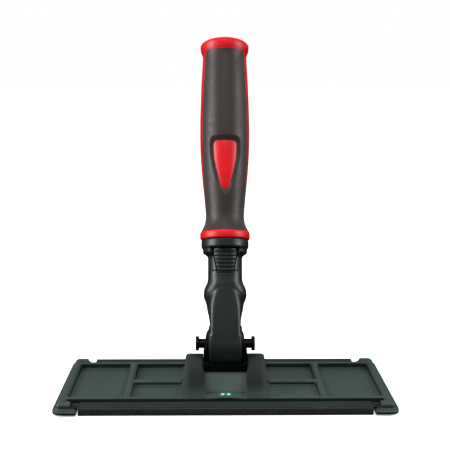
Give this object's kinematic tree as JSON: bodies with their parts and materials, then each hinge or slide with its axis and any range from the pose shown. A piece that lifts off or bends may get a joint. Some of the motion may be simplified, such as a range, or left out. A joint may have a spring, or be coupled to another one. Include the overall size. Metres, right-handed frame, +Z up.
{
  "type": "hand float with tilting grip",
  "caption": "Rectangular ribbed hand float plate with rubber-edged strips and a friction-held tilting arm that carries a two-colour cushioned grip with a release lever.",
  "frame": {"origin": "centre of the sole's flat underside", "axes": "+Z up from the sole, +X along the plate's length, -Y towards the user's front edge"},
  "size_m": [0.235, 0.1376, 0.2523],
  "materials": {
    "plate_plastic": "satin",
    "edge_rubber": "matt, finely ribbed",
    "sole_fabric": "hook pile",
    "badge_green": "gloss",
    "badge_white": "gloss",
    "yoke_plastic": "satin",
    "arm_plastic": "satin",
    "black_steel": "satin black",
    "zinc_steel": "zinc plated",
    "washer_plastic": "natural nylon",
    "grip_red": "semi-gloss",
    "grip_rubber": "satin soft-touch"
  },
  "bodies": {
    "base": {"base_plate": "plate_plastic", "front_rail": "plate_plastic", "rear_rail": "plate_plastic", "front_edge_rubber": "edge_rubber", "rear_edge_rubber": "edge_rubber", "hook_sole": "sole_fabric", "badge": "badge_green", "badge_mark": "badge_white", "yoke": "yoke_plastic", "yoke_screws": "zinc_steel", "tilt_pin": "black_steel", "pin_cap": "black_steel", "friction_washers": "washer_plastic"},
    "handle": {"arm": "arm_plastic", "arm_bush": "zinc_steel", "lever_pin": "black_steel", "lever_spring": "zinc_steel", "grip_core": "grip_red", "grip_sleeve": "grip_rubber", "end_cap": "grip_red"},
    "lever": {"release_lever": "arm_plastic"}
  },
  "joints": [
    {"name": "handle_tilt", "type": "hinge", "parent": "base", "child": "handle", "pos_m": [0, 0, 0.0345], "axis": [1, 0, 0], "range_deg": [-41.5, 78.5]},
    {"name": "lever_press", "type": "hinge", "parent": "handle", "child": "lever", "pos_m": [0, 0.00683, 0.08831], "axis": [-1, 0, 0], "range_deg": [0, 5], "stiffness_Nm_per_rad": 1.6, "springref_deg": -1.72, "deforming": ["lever_spring"]}
  ]
}
